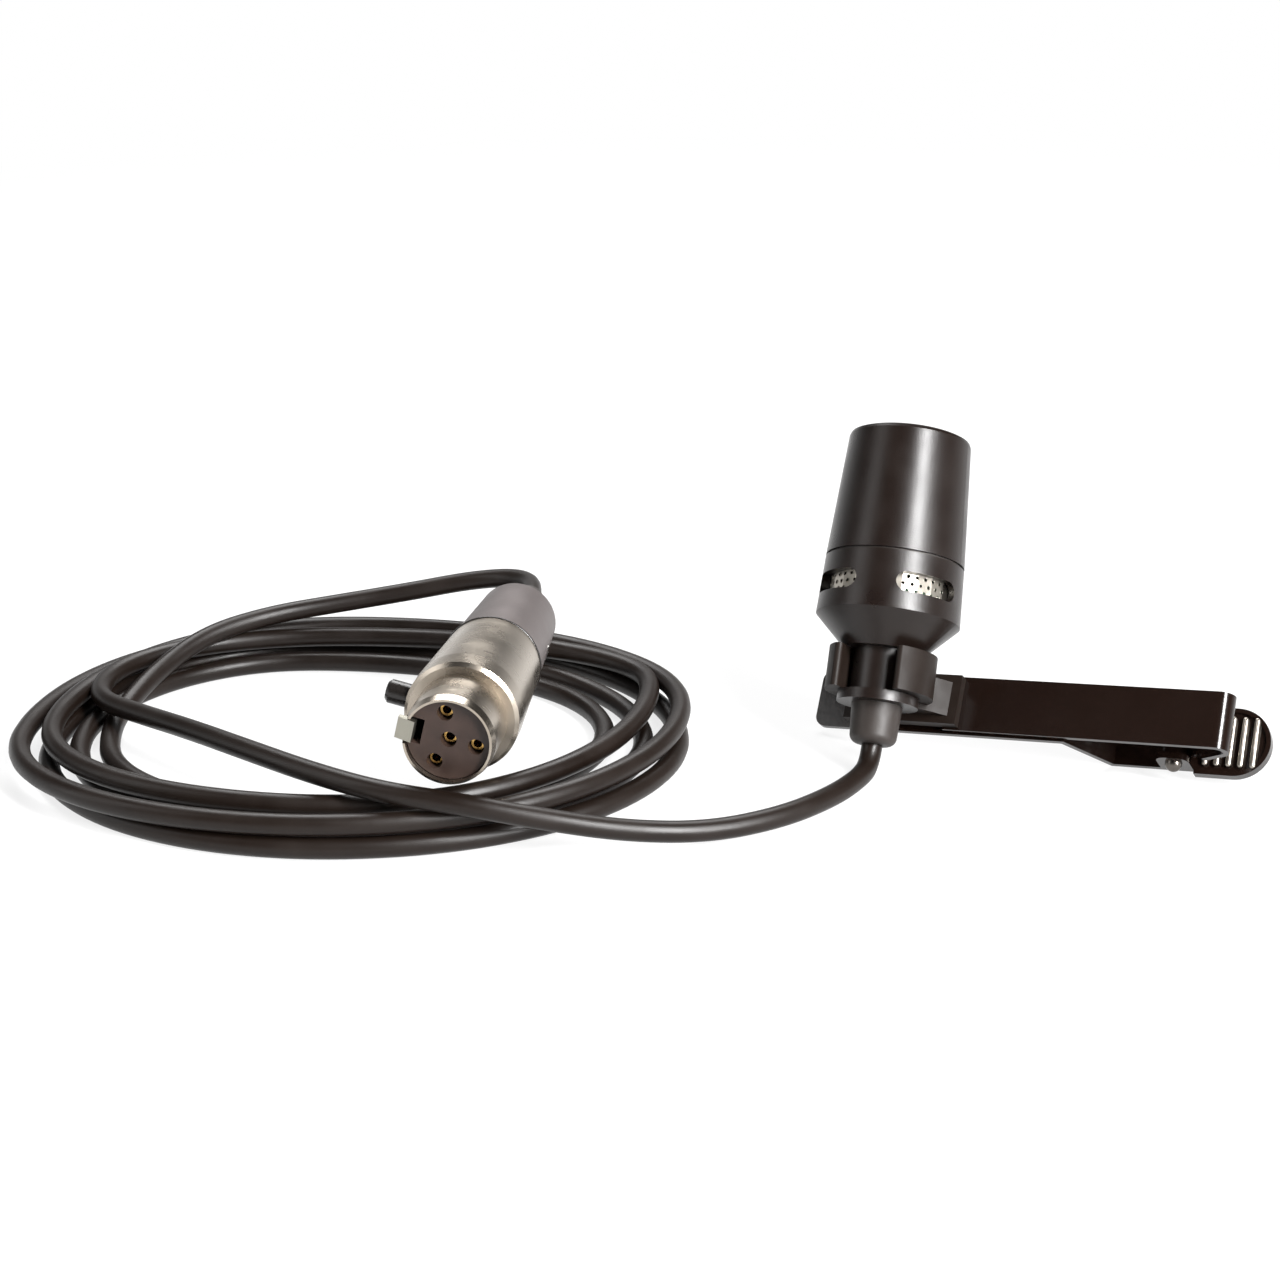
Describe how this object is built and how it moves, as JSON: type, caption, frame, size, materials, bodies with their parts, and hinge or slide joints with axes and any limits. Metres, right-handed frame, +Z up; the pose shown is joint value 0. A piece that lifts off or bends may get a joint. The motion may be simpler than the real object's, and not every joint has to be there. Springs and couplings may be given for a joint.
{
  "type": "lavalier microphone",
  "caption": "Small tapered black microphone standing in a snap holder on a sprung tie clip, with a thin coiled cord that ends in a nickel mini connector.",
  "frame": {"origin": "on the surface that the microphone and its clip lie on, under the middle of their box", "axes": "+Z up; +X towards the hinge end of the tie clip, as the picture shows it from the front, which looks along +Y; the coiled cord lies towards -X"},
  "size_m": [0.126, 0.0611, 0.0328],
  "materials": {
    "satin_black": "satin",
    "grille_black": "satin",
    "screen_nickel": "satin",
    "cloth_black": "matte",
    "capsule_metal": "satin",
    "board_green": "matte",
    "rubber_black": "matte",
    "boot_grey": "matte",
    "holder_black": "satin",
    "gloss_black": "gloss",
    "steel": "satin",
    "nickel": "satin",
    "gold": "polished",
    "insert_black": "matte",
    "cover_grey": "matte",
    "button_black": "gloss",
    "cord_black": "satin"
  },
  "bodies": {
    "microphone": {"cap_shell": "satin_black", "front_grille": "grille_black", "grille_cloth": "cloth_black", "capsule": "capsule_metal", "capsule_mount": "rubber_black", "capsule_board": "board_green", "retaining_ring": "capsule_metal", "seal_ring": "rubber_black", "port_ring": "satin_black", "port_screen": "screen_nickel", "mic_base": "satin_black", "terminal_board": "board_green", "contact_pin_1": "gold", "contact_pin_2": "gold", "mic_boot": "rubber_black", "cord_ferrule": "steel", "cord_stub": "cord_black", "lead": "cord_black", "coil": "cord_black", "tail": "cord_black", "plug_barrel": "nickel", "plug_insert": "insert_black", "contact_1": "gold", "contact_2": "gold", "contact_3": "gold", "contact_4": "gold", "plug_gasket": "rubber_black", "plug_cover": "cover_grey", "plug_screw": "steel", "plug_boot": "boot_grey", "cord_collet": "insert_black", "plug_cord": "cord_black", "latch_pin": "steel"},
    "latch": {"latch_arm": "nickel", "latch_button": "button_black"},
    "clip": {"clip_holder": "holder_black", "tie_bar": "gloss_black", "clip_spring": "steel"},
    "lever": {"lever": "gloss_black", "hinge_pin": "gloss_black"}
  },
  "joints": [
    {"name": "clip_turn", "type": "hinge", "parent": "microphone", "child": "clip", "pos_m": [-0.01569, -0.00273, 0.00905], "axis": [0.1423, 0.5077, 0.8497], "range_deg": [-90, 90]},
    {"name": "lever_squeeze", "type": "hinge", "parent": "clip", "child": "lever", "pos_m": [0.01316, -0.00738, 0.0045], "axis": [-0.2069, -0.6149, -0.761], "range_deg": [0, 30], "stiffness_Nm_per_rad": 0.04, "springref_deg": -34.38, "deforming": ["clip_spring"]},
    {"name": "latch_press", "type": "hinge", "parent": "microphone", "child": "latch", "pos_m": [-0.05909, -0.01239, 0.01111], "axis": [0.2276, -0.0332, 0.9732], "range_deg": [0, 4.3], "stiffness_Nm_per_rad": 0.001, "springref_deg": -17.19}
  ]
}
